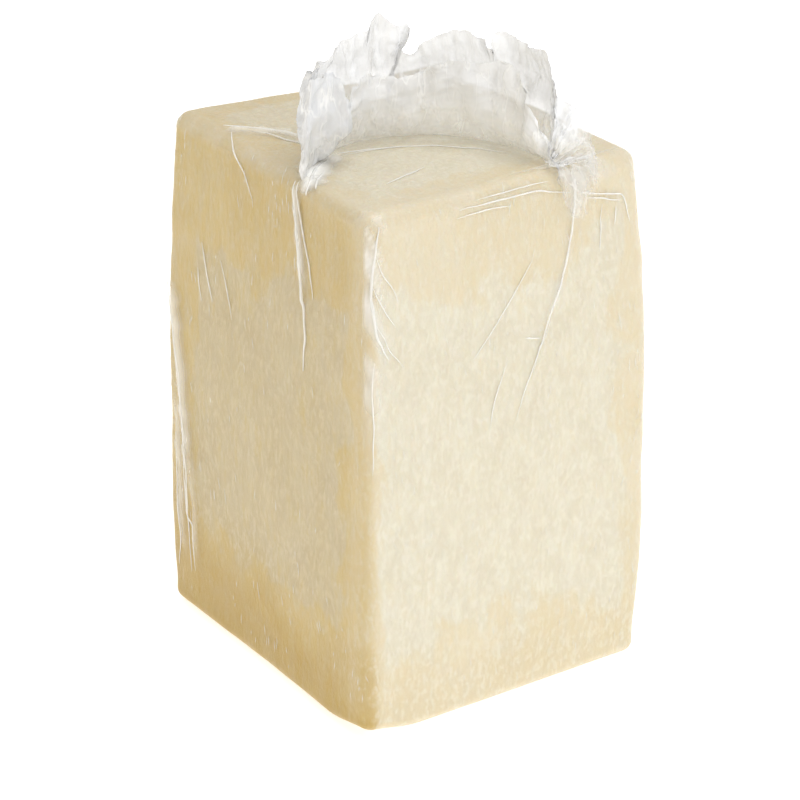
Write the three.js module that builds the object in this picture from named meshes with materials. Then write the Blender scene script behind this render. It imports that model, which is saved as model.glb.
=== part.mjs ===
// A tall block of pale cheese, shrink-wrapped in a clear film bag. The bag's spare neck stands
// up along its seal, across the top of the block, as a crumpled frill.
//
// Millimetres, +Z up. The origin is under the middle of the block, on the surface it stands on.
// +X runs along the front face and +Y from the front face to the back one.
import * as THREE from "three";

// The cheese.
const BLOCK_WIDTH = 173; // along X, at the base
const BLOCK_DEPTH = 189; // along Y, at the base
const BLOCK_HEIGHT = 279;
const UPRIGHT_SHARE = 0.5; // share of the height, from the base, over which the sides don't taper
const TOP_TAPER = 0.07; // share by which the top is narrower than the base
const TAPER_POWER = 1.5; // above 1, the taper starts gently
const TOP_DOME = 3; // how far the middle of the top stands above its edges
const UPRIGHT_EDGE_RADIUS = 8;
const LEVEL_EDGE_RADIUS = 8; // edges round the top and the base

// The bag. Its film is drawn thicker than real film, so that it is a sound solid.
const FILM = 0.4;
const CLING_GAP = 0.3; // clearance between the cheese and the film round it
const NECK_HEIGHT = 60; // from the top of the block to the mouth, on average
const NECK_LOBE = 8; // how far the lobes of the mouth rise above and fall below that
const NECK_LOBES = 3;
const NECK_SLACK = 3; // half the space between the neck's two layers
const FOLD_DEPTH = 8; // how far the neck's folds swing to each side, at the mouth
const FOLDS = 3;
const FOOT_RISE = 6; // the film leaves the top of the block over this height
const SEAL_INSET = 5; // from the block's edges to the ends of the seal

// The seal crosses the top from the left edge towards the right, then turns to the front edge.
const SEAL_LEFT = 0.4; // how far back it starts, as a share of the depth
const SEAL_FRONT = 0.76; // how far to the right it ends, as a share of the width

// How finely the surfaces are faceted.
const CORNER_STEPS = 4;
const SIDE_STEPS = [14, 8, 10, 10]; // along the front, the right, the back and the left
const EDGE_STEPS = 3;
const WALL_STEPS = 8;
const TOP_STEPS = 4;
const NECK_STEPS = 7;

const BASE_LIFT = FILM + CLING_GAP; // the film under the block lifts it by this much

// Half the block's width and depth at a height above its own base.
function halfSizes(height) {
  const above = THREE.MathUtils.clamp((height / BLOCK_HEIGHT - UPRIGHT_SHARE) / (1 - UPRIGHT_SHARE), 0, 1);
  const taper = 1 - TOP_TAPER * above ** TAPER_POWER;
  return [(BLOCK_WIDTH / 2) * taper, (BLOCK_DEPTH / 2) * taper];
}

// How far the domed top stands above its edges at a point.
function dome(x, y) {
  const [halfWidth, halfDepth] = halfSizes(BLOCK_HEIGHT);
  return TOP_DOME * Math.max(0, 1 - (x / halfWidth) ** 2) * Math.max(0, 1 - (y / halfDepth) ** 2);
}

// The stations round the block, anticlockwise from above, from the left end of the front
// face. A station is a step round a corner's arc, or a share of the way along a side.
function stationsRound() {
  const stations = [];
  for (let corner = 0; corner < 4; corner++) {
    for (let step = 0; step <= CORNER_STEPS; step++) stations.push({ corner, turn: step / CORNER_STEPS });
    const steps = SIDE_STEPS[corner];
    for (let step = 1; step < steps; step++) stations.push({ corner, along: step / steps });
  }
  return stations;
}

// A point on the arc of one corner of a rounded rectangle. Corner 0 is front left.
function cornerPoint(corner, turn, halfWidth, halfDepth, radius) {
  const sideX = corner === 1 || corner === 2 ? 1 : -1;
  const sideY = corner >= 2 ? 1 : -1;
  const angle = Math.PI + (corner + turn) * (Math.PI / 2);
  return new THREE.Vector2(
    sideX * (halfWidth - radius) + radius * Math.cos(angle),
    sideY * (halfDepth - radius) + radius * Math.sin(angle),
  );
}

// The outline of the block at a height, drawn in by inset (or out, if that is negative).
function outline(height, inset) {
  const [halfWidth, halfDepth] = halfSizes(height).map((half) => half - inset);
  const radius = Math.max(1, UPRIGHT_EDGE_RADIUS - inset);
  return stationsRound().map(({ corner, turn, along }) => {
    if (along === undefined) return cornerPoint(corner, turn, halfWidth, halfDepth, radius);
    const from = cornerPoint(corner, 1, halfWidth, halfDepth, radius);
    const to = cornerPoint((corner + 1) % 4, 0, halfWidth, halfDepth, radius);
    return from.lerp(to, along);
  });
}

const ringAt = (points, z) => points.map((p) => new THREE.Vector3(p.x, p.y, z));

// The rings from the edge of the base to the edge of the top, offset outwards by out.
function wallRings(out) {
  const rings = [];
  const radius = LEVEL_EDGE_RADIUS;
  for (let step = 0; step <= EDGE_STEPS; step++) {
    const angle = (step / EDGE_STEPS - 1) * (Math.PI / 2);
    const height = radius + (radius + out) * Math.sin(angle);
    rings.push(ringAt(outline(height, radius - (radius + out) * Math.cos(angle)), height));
  }
  for (let step = 1; step < WALL_STEPS; step++) {
    const height = THREE.MathUtils.lerp(radius, BLOCK_HEIGHT - radius, step / WALL_STEPS);
    rings.push(ringAt(outline(height, -out), height));
  }
  for (let step = 0; step <= EDGE_STEPS; step++) {
    const angle = (step / EDGE_STEPS) * (Math.PI / 2);
    const height = BLOCK_HEIGHT - radius + (radius + out) * Math.sin(angle);
    rings.push(ringAt(outline(height, radius - (radius + out) * Math.cos(angle)), height));
  }
  return rings;
}

// A closed surface through rings of equally many points, shut at each end by a pole.
function loft(rings, firstPole, lastPole) {
  const round = rings[0].length;
  const points = [firstPole, ...rings.flat(), lastPole];
  const last = points.length - 1;
  const faces = [];
  for (let i = 0; i < round; i++) {
    const j = (i + 1) % round;
    faces.push(0, 1 + j, 1 + i);
    for (let ring = 0; ring < rings.length - 1; ring++) {
      const a = 1 + ring * round;
      const b = a + round;
      faces.push(a + i, a + j, b + j, a + i, b + j, b + i);
    }
    faces.push(last - round + i, last - round + j, last);
  }
  return new THREE.BufferGeometry().setFromPoints(points).setIndex(faces);
}

function cheeseGeometry() {
  const rings = wallRings(0);
  const edge = rings.at(-1);
  for (let step = 1; step < TOP_STEPS; step++) {
    const share = 1 - step / TOP_STEPS;
    rings.push(
      edge.map(({ x, y }) => {
        const [inX, inY] = [x * share, y * share];
        return new THREE.Vector3(inX, inY, BLOCK_HEIGHT + dome(inX, inY));
      }),
    );
  }
  return loft(rings, new THREE.Vector3(0, 0, 0), new THREE.Vector3(0, 0, BLOCK_HEIGHT + dome(0, 0)));
}

// The seal's line across the top, seen from above. It starts at the left edge.
function sealLine() {
  const [halfWidth, halfDepth] = halfSizes(BLOCK_HEIGHT);
  const startY = (2 * SEAL_LEFT - 1) * halfDepth;
  const endX = (2 * SEAL_FRONT - 1) * halfWidth;
  return new THREE.CubicBezierCurve(
    new THREE.Vector2(-halfWidth + SEAL_INSET, startY),
    new THREE.Vector2(0, startY),
    new THREE.Vector2(endX, startY),
    new THREE.Vector2(endX, -halfDepth + SEAL_INSET),
  );
}

// The station on a side that is nearest to a share of the way along it.
function stationOn(side, share) {
  const step = Math.round(share * SIDE_STEPS[side]);
  return stationsRound().findIndex((s) => s.corner === side && s.along === step / SIDE_STEPS[side]);
}

// Where each station goes on the neck: how far along the seal, and which of the two layers.
// The seal's ends take one station each, on the left side and on the front one.
function neckPlaces() {
  const stations = stationsRound();
  const leftEnd = stationOn(3, 1 - SEAL_LEFT);
  const rightEnd = stationOn(0, SEAL_FRONT);
  const frontSteps = rightEnd - leftEnd + stations.length;
  const backSteps = stations.length - frontSteps;
  return stations.map((_, i) => {
    const step = (i - leftEnd + stations.length) % stations.length;
    if (step === 0) return { along: 0, layer: 0 };
    if (step === frontSteps) return { along: 1, layer: 0 };
    if (step < frontSteps) return { along: step / frontSteps, layer: -1 };
    return { along: 1 - (step - frontSteps) / backSteps, layer: 1 };
  });
}

// A ring of the neck, up being 0 at its foot and 1 at its mouth, offset outwards by out.
function neckRing(up, out) {
  const line = sealLine();
  return neckPlaces().map(({ along, layer }) => {
    const centre = line.getPoint(along);
    const tangent = line.getTangent(along);
    const normal = new THREE.Vector2(-tangent.y, tangent.x);
    const fold = FOLD_DEPTH * up * Math.sin(2 * Math.PI * FOLDS * along) * Math.sin(Math.PI * along);
    const slack = NECK_SLACK * Math.sqrt(Math.sin(Math.PI * along)) + out;
    centre.addScaledVector(normal, fold + layer * slack);
    centre.addScaledVector(tangent, (2 * along - 1) * out);
    const lobes = NECK_HEIGHT + NECK_LOBE * Math.cos(2 * Math.PI * NECK_LOBES * (along - 0.5));
    const ends = 0.55 + 0.45 * Math.sin(Math.PI * along) ** 0.6; // the frill is lower at its ends
    const foot = BLOCK_HEIGHT + dome(centre.x, centre.y) + CLING_GAP + FOOT_RISE;
    return new THREE.Vector3(centre.x, centre.y, foot + up * (lobes * ends - FOOT_RISE));
  });
}

// The bag's rings from the base to the mouth, offset from the cheese by out.
function bagRings(out) {
  const rings = wallRings(out);
  const edge = rings.at(-1);
  const foot = neckRing(0, out - CLING_GAP);
  for (let step = 1; step < TOP_STEPS; step++) {
    const share = step / TOP_STEPS;
    rings.push(
      edge.map((point, i) => {
        const p = point.clone().lerp(foot[i], share);
        p.z = BLOCK_HEIGHT + dome(p.x, p.y) + out + FOOT_RISE * share ** 4;
        return p;
      }),
    );
  }
  for (let step = 0; step <= NECK_STEPS; step++) rings.push(neckRing(step / NECK_STEPS, out - CLING_GAP));
  return rings;
}

function bagGeometry() {
  const outside = bagRings(CLING_GAP + FILM);
  const inside = bagRings(CLING_GAP).reverse();
  const under = new THREE.Vector3(0, 0, -CLING_GAP - FILM);
  return loft([...outside, ...inside], under, new THREE.Vector3(0, 0, -CLING_GAP));
}

function namedMesh(name, geometry, look) {
  geometry.computeVertexNormals();
  const mesh = new THREE.Mesh(geometry, new THREE.MeshStandardMaterial({ metalness: 0, ...look }));
  mesh.name = name;
  mesh.position.z = BASE_LIFT;
  return mesh;
}

const object = new THREE.Group();
object.add(namedMesh("cheese_block", cheeseGeometry(), { color: 0xe6d8ae, roughness: 0.5 }));
object.add(
  namedMesh("film_bag", bagGeometry(), { color: 0xeeeeea, roughness: 0.2, transparent: true, opacity: 0.3 }),
);

export default object;
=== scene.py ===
# %% [markdown]
# # A block of pale cheese in a shrink-film bag
#
# The real thing is one heavy block of cheese with one bag of clear film shrunk on to it. The
# bag is a tube, welded shut along one line under the block and along another across the top.
# What is left of it above that top seal stands up as a crumpled neck. So there are only two
# real things to make, the cheese and the film, and most of the work is in how the film lies.
#
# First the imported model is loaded. It is the fixed frame: everything below takes its place and
# size from it, in metres.

# %% Load the frame
import math

import bpy
import numpy as np
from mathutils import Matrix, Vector


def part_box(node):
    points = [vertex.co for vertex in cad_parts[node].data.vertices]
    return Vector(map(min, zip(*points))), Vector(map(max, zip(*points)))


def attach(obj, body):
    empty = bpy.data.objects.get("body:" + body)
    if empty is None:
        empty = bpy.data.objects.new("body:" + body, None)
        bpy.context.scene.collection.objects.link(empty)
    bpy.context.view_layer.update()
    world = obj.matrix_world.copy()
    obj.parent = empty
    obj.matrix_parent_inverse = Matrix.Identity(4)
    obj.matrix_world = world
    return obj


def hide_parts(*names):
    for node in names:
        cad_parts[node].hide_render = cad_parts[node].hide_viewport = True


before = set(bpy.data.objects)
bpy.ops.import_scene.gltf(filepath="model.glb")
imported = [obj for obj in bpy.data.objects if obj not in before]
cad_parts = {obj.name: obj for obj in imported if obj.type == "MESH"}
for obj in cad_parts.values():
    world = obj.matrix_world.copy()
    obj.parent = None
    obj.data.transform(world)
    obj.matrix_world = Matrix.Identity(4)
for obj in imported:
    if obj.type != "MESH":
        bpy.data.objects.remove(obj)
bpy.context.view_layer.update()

scene = bpy.context.scene
block_low, block_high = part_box("cheese_block")
bag_low, bag_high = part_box("film_bag")
print("block", [round(x, 4) for x in (*block_low, *block_high)], "bag top", round(bag_high.z, 4))

# %% [markdown]
# ## Sizes
#
# The block stands upright for the lower half and narrows gently above it. The film lies a
# fraction of a millimetre off the cheese. A real one touches it, but two surfaces in the same
# place can't both be drawn.

# %% Sizes
mm = 0.001
UPRIGHT_SHARE = 0.5  # share of the height over which the sides don't narrow
TOP_TAPER = 0.07  # share by which the top is narrower than the base
TAPER_POWER = 1.5  # above 1, the narrowing starts gently
TOP_DOME = 3 * mm
RIGHT_IN = 2.4 * mm  # how far the right side is pulled in at its foot and at its top
CORNER_IN = 0.03  # share by which the worn front left corner of the foot is pulled in
CORNER_LIFT = 3.5 * mm  # and how far it is off the table
BACK_DROOP = 6 * mm  # how far the top droops at its back right corner
EDGE_RADIUS = 7 * mm
FILM_GAP = 0.45 * mm

height = block_high.z - block_low.z - TOP_DOME
half_x, half_y = block_high.x, block_high.y
plain_half = np.array([half_x, half_y, height / 2])
middle_z = block_low.z + height / 2
print("base", round(2 * half_x, 4), "by", round(2 * half_y, 4), "height", round(height, 4))


def taper_at(up):
    """How wide the block is, as a share of its base, at a share of its height."""
    above = np.clip((up - UPRIGHT_SHARE) / (1 - UPRIGHT_SHARE), 0, 1)
    return 1 - TOP_TAPER * above**TAPER_POWER


# %% [markdown]
# ## Noise that is the same each time
#
# Lumps, dents and creases need randomness with no pattern to it, and the same randomness each
# time this runs. This helper gives every cell of a lattice its own number, worked out from the
# cell's whole-number address, and blends smoothly between neighbours.

# %% Smooth noise from lattice addresses
def lattice_value(address, seed):
    mixed = address[..., 0] * 73856093 ^ address[..., 1] * 19349663 ^ address[..., 2] * 83492791
    mixed = (mixed + seed * 7919) & 0x7FFFFFFF
    mixed = ((mixed ^ (mixed >> 13)) * 1274126177) & 0x7FFFFFFF
    return ((mixed ^ (mixed >> 16)) & 0xFFFF) / 0xFFFF


def noise(points, size, seed):
    """Smooth noise from 0 to 1 at each point. size is the length of a cell."""
    place = np.asarray(points) / size
    cell = np.floor(place).astype(np.int64)
    blend = place - cell
    blend = blend * blend * (3 - 2 * blend)
    total = 0
    for corner in np.ndindex(2, 2, 2):
        step = np.array(corner)
        share = np.prod(np.where(step == 1, blend, 1 - blend), axis=-1)
        total = total + share * lattice_value(cell + step, seed)
    return total


def smooth(value, start, end):
    """0 before start, 1 after end, and smooth between. It also falls, where end is less than start."""
    share = np.clip((value - start) / (end - start), 0, 1)
    return share * share * (3 - 2 * share)


def creased(points, size, seed):
    """Noise with sharp ridges, from 0 in the hollows to 1 along the ridges."""
    return 1 - np.abs(2 * noise(points, size, seed) - 1)


# %% [markdown]
# ## The shape of the block
#
# A cheese block starts as a rounded box, and then slumps: it narrows towards the top, its top
# domes a little, and it gets shallow lumps from its mould and its own weight. Both the cheese
# and the film are made plain first and then pass through one function that does the slumping.
# So the film follows every lump of the cheese without either being fitted to the other.

# %% Slump a plain rounded box
def outward(points):
    """The direction out of the plain rounded box at each point near its surface."""
    core = plain_half - EDGE_RADIUS
    away = points - np.clip(points, -core, core)
    return away / np.maximum(np.linalg.norm(away, axis=-1, keepdims=True), 1e-9)


def lumps(points):
    """How far the slumped surface stands out, or in, at each point."""
    broad = 2.2 * mm * (noise(points, 90 * mm, 3) - 0.5)
    dents = 1.5 * mm * (noise(points, 32 * mm, 8) - 0.5)
    ripples = 0.7 * mm * (noise(points, 14 * mm, 21) - 0.5)
    return broad + dents + ripples


def slump(points):
    """Moves points of the plain box, centred on the origin, to their place on the real block."""
    up = np.clip(points[..., 2] / height + 0.5, 0, 1)
    x, y = points[..., 0] / half_x, points[..., 1] / half_y
    shift = outward(points) * lumps(points)[..., None]
    shift[..., 2] *= smooth(up, 0.0, 0.04)
    moved = points + shift
    worn = smooth(-x, 0.6, 1) * smooth(-y, 0.6, 1)
    moved[..., :2] *= (taper_at(up) * (1 - CORNER_IN * worn * smooth(up, 0.12, 0)))[..., None]
    moved[..., 0] -= RIGHT_IN * smooth(x, 0, 1) * (smooth(up, 0.3, 0.05) + smooth(up, 0.75, 1))
    dome = TOP_DOME * np.clip(1 - x * x, 0, 1) * np.clip(1 - y * y, 0, 1)
    droop = BACK_DROOP * smooth(x + y, -0.3, 1.6) * smooth(y, -0.2, 1)
    moved[..., 2] += (dome - droop) * smooth(up, 0.8, 1.0) + middle_z
    moved[..., 2] += CORNER_LIFT * worn * smooth(up, 0.07, 0)
    return moved


def unslump(places):
    """Back from the real block to the plain box, leaving out the lumps."""
    places = np.array(places, float)
    places[..., 2] -= middle_z
    up = np.clip(places[..., 2] / height + 0.5, 0, 1)
    places[..., :2] /= taper_at(up)[..., None]
    return places


# %% [markdown]
# ## The cheese
#
# The cheese is a grid on each of the six faces of a box, with its lines drawn closer together
# near the edges, where each point is pushed back on to a round of one radius. That gives even
# four-sided faces with no poles. It is one solid: a block of cheese has no parts.

# %% A rounded box with even faces
def stations(half, step):
    """Where the grid's lines cross one axis: evenly over the flat, and by angle round the edges."""
    core = half - EDGE_RADIUS
    bend = core + EDGE_RADIUS * np.tan(np.linspace(0, math.pi / 4, 6)[1:])
    flat = np.linspace(-core, core, max(2, round(2 * core / step)) + 1)
    return np.concatenate([-bend[::-1], flat, bend])


def rounded_box(step):
    """Points and four-sided faces of the plain rounded box, faces pointing out."""
    lines = [stations(half, step) for half in plain_half]
    points, faces, count = [], [], 0
    for axis in range(3):
        first, second = (axis + 1) % 3, (axis + 2) % 3
        for side in (-1, 1):
            a, b = np.meshgrid(lines[first], lines[second], indexing="ij")
            face = np.zeros((*a.shape, 3))
            face[..., axis] = side * plain_half[axis]
            face[..., first], face[..., second] = a, b
            index = np.arange(a.size).reshape(a.shape) + count
            ring = [index[:-1, :-1], index[1:, :-1], index[1:, 1:], index[:-1, 1:]]
            ring = ring if side == 1 else ring[::-1]
            faces.append(np.stack(ring, axis=-1).reshape(-1, 4))
            points.append(face.reshape(-1, 3))
            count += a.size
    points, faces = np.concatenate(points), np.concatenate(faces)
    _, keep, merged = np.unique(np.round(points, 7), axis=0, return_index=True, return_inverse=True)
    core = plain_half - EDGE_RADIUS
    on_core = np.clip(points[keep], -core, core)
    away = points[keep] - on_core
    away /= np.linalg.norm(away, axis=1, keepdims=True)
    return on_core + EDGE_RADIUS * away, merged.reshape(-1)[faces]


def make_piece(name, points, faces, smooth_faces=True):
    """A new mesh object from points and faces, in the scene."""
    mesh = bpy.data.meshes.new(name)
    mesh.from_pydata(np.asarray(points).tolist(), [], np.asarray(faces).tolist())
    mesh.polygons.foreach_set("use_smooth", [smooth_faces] * len(mesh.polygons))
    mesh.update()
    piece = bpy.data.objects.new(name, mesh)
    scene.collection.objects.link(piece)
    return piece


def paint(piece, name, values):
    """Stores one number for each point, for a material to read."""
    attribute = piece.data.attributes.new(name, "FLOAT", "POINT")
    attribute.data.foreach_set("value", np.asarray(values, np.float32))


# %% The cheese block
plain_points, cheese_faces = rounded_box(2.3 * mm)
cheese = make_piece("cheese", slump(plain_points), cheese_faces)
print("cheese", len(cheese.data.vertices), "points", len(cheese_faces), "faces")

# %% [markdown]
# ## Where the film clings
#
# Near the edges the film is stretched tight and wets the cheese, which shows through clear,
# smooth and yellow. In the middle of each face a little air and whey is trapped, and the cheese
# looks whiter and curdy. The foot of the block is painted darker and yellower, most of all on the
# left: that is painted shade. So are the left face and the back of the top. Each is one number
# for each point of the cheese: the material turns them into colour.

# %% Paint cling and painted shade on the cheese
BAND_SIDE, BAND_LEVEL = 20 * mm, 42 * mm  # how far cling reaches in from upright and level edges
FRONT_LEFT_NARROWER = 2.2  # how many times narrower the band is beside the front left edge
# painted shade at the foot: how high it stands, how it fades and deepens, and how it rises to the back
FOOT_SHADE_DEPTH = 52 * mm  # how high the painted shade at the foot stands, before it fades out above and deepens below
FOOT_SHADE_FADE, FOOT_SHADE_DEEPEN = 18 * mm, 34 * mm
FOOT_SHADE_BACKWARD = 0.12  # how much higher it stands for each metre further back


def cling_at(points):
    """1 where the film wets the cheese, near the edges, and 0 in the middle of a face."""
    reach = (plain_half - np.abs(points)) / (BAND_SIDE, BAND_SIDE, BAND_LEVEL)
    near_front_left = (points[..., 0] < 0) & (points[..., 1] < -half_y + EDGE_RADIUS)
    reach[..., 0] *= np.where(near_front_left, FRONT_LEFT_NARROWER, 1.0)
    on_left = points[..., 0] < -half_x + EDGE_RADIUS
    reach[..., 1] *= np.where(on_left & (points[..., 1] > 0), 0.66, 1.0)
    reach[..., 2] *= np.where(on_left, 0.85 - 0.2 * points[..., 1] / half_y, 1.0)
    to_edge = np.sort(reach, axis=-1)[..., 1]
    ragged = 0.7 * (noise(points, 30 * mm, 5) - 0.5)
    ragged = ragged + 0.6 * (noise(points * (1, 1, 0.6), 8 * mm, 6) - 0.5)
    return smooth(to_edge + ragged, 1.2, 0.9)


def painted_foot_shade_at(points):
    """Painted shade at the foot: 1 at the foot of the left face, less at the foot of the others, and 0
    above.
    """
    above = points[..., 2] + height / 2
    left = smooth(points[..., 0], -half_x + 10 * mm, -half_x + 3 * mm)
    deep = FOOT_SHADE_DEPTH + FOOT_SHADE_BACKWARD * points[..., 1]
    ragged = 26 * mm * (noise(points, 30 * mm, 12) - 0.5)
    ragged = ragged + 10 * mm * (noise(points, 8 * mm, 13) - 0.5)
    return smooth(above + ragged, deep + FOOT_SHADE_FADE, deep - FOOT_SHADE_DEEPEN) * (0.12 + 0.88 * left)


def painted_shade_at(points):
    """Painted shade: 1 on the left face, less on the top, most at its back, and 0 on the others."""
    on_left = smooth(points[..., 0], -half_x + 9 * mm, -half_x + 1 * mm)
    on_left = on_left * (1 - 0.35 * smooth(points[..., 1], -half_y + 22 * mm, -half_y + 4 * mm))
    to_back = smooth(points[..., 1] / half_y - 0.4 * points[..., 0] / half_x, -0.7, 1.2)
    top = smooth(points[..., 2], height / 2 - 6 * mm, height / 2 - 1 * mm)
    on_left = on_left * (1 - 0.6 * smooth(points[..., 2], height / 2 - 9 * mm, height / 2 - 2 * mm))
    return np.maximum(on_left, (0.1 + 0.5 * to_back) * top)


paint(cheese, "cling", cling_at(plain_points))
# painted shade at the foot
paint(cheese, "foot_shade", painted_foot_shade_at(plain_points))
# painted shade on the left face and the top
paint(cheese, "painted_shade", painted_shade_at(plain_points))
print("clings over", round(100 * float(cling_at(plain_points).mean())), "% of the points")

# %% [markdown]
# ## Building materials
#
# A material is a tree of nodes. This small helper adds a node, fills its inputs and links
# whatever is given as another node's output, so that each tree reads like a recipe.

# %% A node helper
class Recipe:
    """The node tree of one material, with its Principled shader."""

    def __init__(self, name):
        self.material = bpy.data.materials.new(name)
        self.material.use_nodes = True
        self.tree = self.material.node_tree
        self.shader = self.tree.nodes["Principled BSDF"]

    def link(self, socket, value):
        if isinstance(value, bpy.types.NodeSocket):
            self.tree.links.new(value, socket)
        else:
            socket.default_value = value

    def add(self, kind, inputs=None, out=0, **settings):
        node = self.tree.nodes.new(kind)
        for key, value in settings.items():
            setattr(node, key, value)
        for key, value in (inputs or {}).items():
            self.link(node.inputs[key], value)
        return node.outputs[out]

    def math(self, operation, a, b=0.0, c=0.0, clamp=False):
        return self.add("ShaderNodeMath", {0: a, 1: b, 2: c}, operation=operation, use_clamp=clamp)

    def mix(self, share, a, b, how="MIX"):
        """Colour a where share is 0 and colour b, or a multiplied by b, where it is 1."""
        return self.add("ShaderNodeMix", {0: share, 6: a, 7: b}, out=2, data_type="RGBA", blend_type=how)

    def between(self, value, low, high, to_low=0.0, to_high=1.0):
        """value, stretched so that low becomes to_low and high becomes to_high."""
        inputs = {"Value": value, "From Min": low, "From Max": high, "To Min": to_low, "To Max": to_high}
        return self.add("ShaderNodeMapRange", inputs, interpolation_type="SMOOTHSTEP")

    def noise(self, place, scale, detail=3.0, roughness=0.55):
        inputs = {"Vector": place, "Scale": scale, "Detail": detail, "Roughness": roughness}
        return self.add("ShaderNodeTexNoise", inputs)

    def attribute(self, name):
        return self.add("ShaderNodeAttribute", out=2, attribute_name=name)

    def set(self, **values):
        """Sets the shader's sockets: base_color becomes Base Color."""
        for key, value in values.items():
            self.link(self.shader.inputs[key.replace("_", " ").title().replace("Ior", "IOR")], value)


# %% [markdown]
# ## Cheese under film
#
# Four layers of colour make the cheese. The first is curd: short whitish flecks, longer up
# and down than across, because the block was pressed. The second is the clear yellow of the
# places where the film clings. The third is painted shade: a darker, yellower tint on the left
# face and the top, which the other two are multiplied by. The fourth is painted shade at the
# foot. Light goes a few millimetres into cheese, so some of it is scattered under the surface.
# The coat is the tight film's gloss.

# %% The cheese material
CURD = (0.645, 0.59, 0.45, 1)
CURD_PALE = (0.69, 0.65, 0.52, 1)
FLECK = (0.75, 0.71, 0.59, 1)
CLEAR = (0.675, 0.59, 0.41, 1)
CLEAR_DEEP = (0.655, 0.56, 0.365, 1)
# painted shade: the darker, yellower tint of the left face and the top, for curd and for clear cheese
PAINTED_SHADE_TINT = (0.76, 0.67, 0.485, 1)
PAINTED_SHADE_TINT_CLEAR = (0.78, 0.655, 0.285, 1)
# painted shade at the foot
FOOT_SHADE_TINT = (0.44, 0.29, 0.035, 1)


def cheese_material():
    recipe = Recipe("young_cheese")
    place = recipe.add("ShaderNodeTexCoord", out=3)
    tall = recipe.add("ShaderNodeMapping", {"Vector": place, "Scale": (1.0, 1.0, 0.55)})
    curds = recipe.noise(tall, 420, 2.0, 0.6)
    flecks = recipe.between(curds, 0.46, 0.66)
    blotches = recipe.between(recipe.noise(tall, 85, 4.0, 0.65), 0.36, 0.68)
    drift = recipe.between(recipe.noise(place, 16, 2.0, 0.5), 0.35, 0.65)
    drawn = recipe.add("ShaderNodeMapping", {"Vector": place, "Scale": (1.0, 1.0, 0.2)})
    streaks = recipe.noise(drawn, 260, 3.0, 0.6)
    wisps = recipe.between(streaks, 0.4, 0.62)
    uneven = recipe.math("MULTIPLY_ADD", blotches, 0.5, recipe.math("MULTIPLY_ADD", wisps, 0.45, -0.475))
    clear_share = recipe.math("ADD", recipe.attribute("cling"), uneven, clamp=True)
    clear_share = recipe.math("MULTIPLY_ADD", flecks, -0.35, clear_share, clamp=True)
    curd = recipe.mix(blotches, CURD, CURD_PALE)
    grainy = recipe.math("MULTIPLY_ADD", recipe.attribute("painted_shade"), 0.35, 0.5)
    curd = recipe.mix(recipe.math("MULTIPLY", flecks, grainy), curd, FLECK)
    body = recipe.mix(clear_share, curd, recipe.mix(drift, CLEAR, CLEAR_DEEP))
    # painted shade on the left face and the top, multiplied into the cheese's colour
    tint = recipe.mix(clear_share, PAINTED_SHADE_TINT, PAINTED_SHADE_TINT_CLEAR)
    painted_shade = recipe.mix(recipe.attribute("painted_shade"), (1, 1, 1, 1), tint)
    body = recipe.mix(1.0, body, painted_shade, how="MULTIPLY")
    # painted shade at the foot, deepest on the left
    foot_shade = recipe.math("MULTIPLY_ADD", flecks, -0.2, recipe.attribute("foot_shade"), clamp=True)
    recipe.set(base_color=recipe.mix(foot_shade, body, FOOT_SHADE_TINT))
    recipe.set(subsurface_weight=0.25, subsurface_radius=(1.0, 0.6, 0.28), subsurface_scale=0.006)
    recipe.set(roughness=recipe.between(clear_share, 0, 1, 0.62, 0.4), ior=1.45)
    recipe.set(coat_weight=0.2, coat_roughness=0.3, coat_ior=1.45)
    rough = recipe.math("MULTIPLY_ADD", streaks, 0.45, recipe.math("MULTIPLY", curds, 0.9))
    bump = recipe.add("ShaderNodeBump", {"Strength": 0.9, "Distance": 0.8 * mm, "Height": rough})
    recipe.set(normal=bump)
    return recipe.material


cheese.data.materials.append(cheese_material())
print("cheese material has", len(cheese.data.materials[0].node_tree.nodes), "nodes")

# %% [markdown]
# ## The bag as one sheet
#
# The bag is a tube of film, so its mesh is a tube too: stations run round the block and rings
# climb it, from the weld under the block, out over its foot, up the walls, in over the top to
# the seal, and on up the neck to the open mouth. It is one open sheet with no thickness, as
# film nearly is, and its only edge is the mouth.

# %% Stations round the block
FILM_STEP = 2.05 * mm
CORNER_STEPS = 6
BEND_STEPS = 6


def stations_round():
    """For each station, a point of the inner rectangle and the direction out, from the front left."""
    core_x, core_y = plain_half[0] - EDGE_RADIUS, plain_half[1] - EDGE_RADIUS
    corners = [(-core_x, -core_y), (core_x, -core_y), (core_x, core_y), (-core_x, core_y)]
    places, directions = [], []
    for side in range(4):
        here, after = np.array(corners[side]), np.array(corners[(side + 1) % 4])
        start = math.pi + side * math.pi / 2
        for angle in np.linspace(start, start + math.pi / 2, CORNER_STEPS + 1):
            places.append(here)
            directions.append((math.cos(angle), math.sin(angle)))
        steps = round(np.linalg.norm(after - here) / FILM_STEP)
        for share in np.arange(1, steps) / steps:
            places.append(here + (after - here) * share)
            directions.append(directions[-1])
    return np.array(places), np.array(directions)


station_place, station_out = stations_round()
station_count = len(station_place)
print(station_count, "stations round the bag")

# %% [markdown]
# ## The seal and the mouth
#
# The top seal is a curve: it starts at the left edge of the top, arches back, and comes forward
# to the front edge. The film in front of it is one layer of the neck and the film behind it is
# the other. Much more film comes from behind, round three sides of the block, so the back layer
# stands higher, in lobes. The mouth is drawn as two lines of posts, one for each layer.
# Each post stands at a share of the way along the seal, and gives how far the mouth is from the
# seal there. At the right the mouth falls outwards and lies down over the front edge.

# %% The seal line and the mouth
SEAL_ENDS_IN = 3 * mm  # from the block's edges to the ends of the seal
SEAL_POSTS = np.array([(-half_x + SEAL_ENDS_IN, -0.33 * half_y), (-0.5 * half_x, 0.22 * half_y),
                       (0.47 * half_x, -0.36 * half_y), (0.37 * half_x, -half_y + SEAL_ENDS_IN)])

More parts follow.
